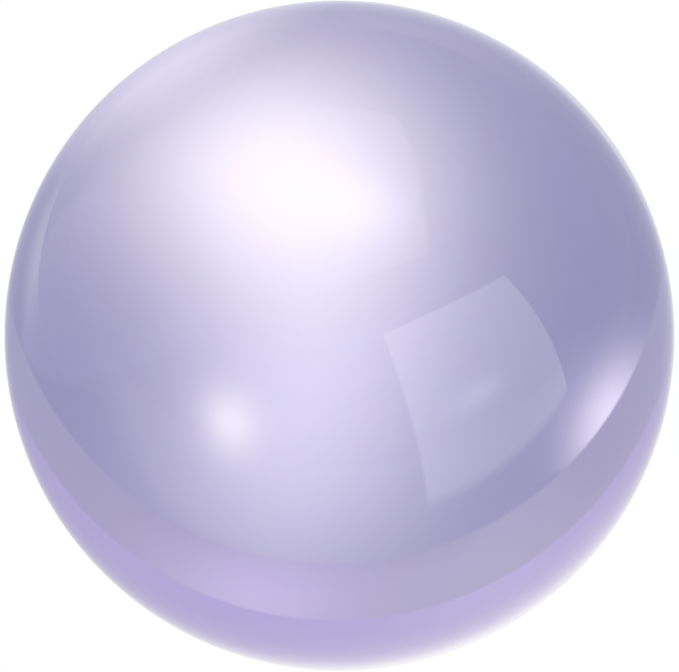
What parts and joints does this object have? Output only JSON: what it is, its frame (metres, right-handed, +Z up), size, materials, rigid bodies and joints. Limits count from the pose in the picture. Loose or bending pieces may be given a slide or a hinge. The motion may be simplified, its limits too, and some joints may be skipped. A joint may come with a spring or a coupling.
{
  "type": "cue ball",
  "caption": "Solid clear lilac ball, polished all over, struck by the cue and rolled against the other balls on a pool table.",
  "frame": {"origin": "centre of the ball, which is the point it turns about when it rolls", "axes": "+Z up; every line through the centre is an axis of symmetry, so +X and +Y are only a choice, with +X to the right when the ball is looked at from the -Y side"},
  "size_m": [0.0572, 0.0572, 0.0572],
  "materials": {
    "lilac_resin": "polished"
  },
  "bodies": {
    "root": {"ball": "lilac_resin"}
  },
  "joints": []
}
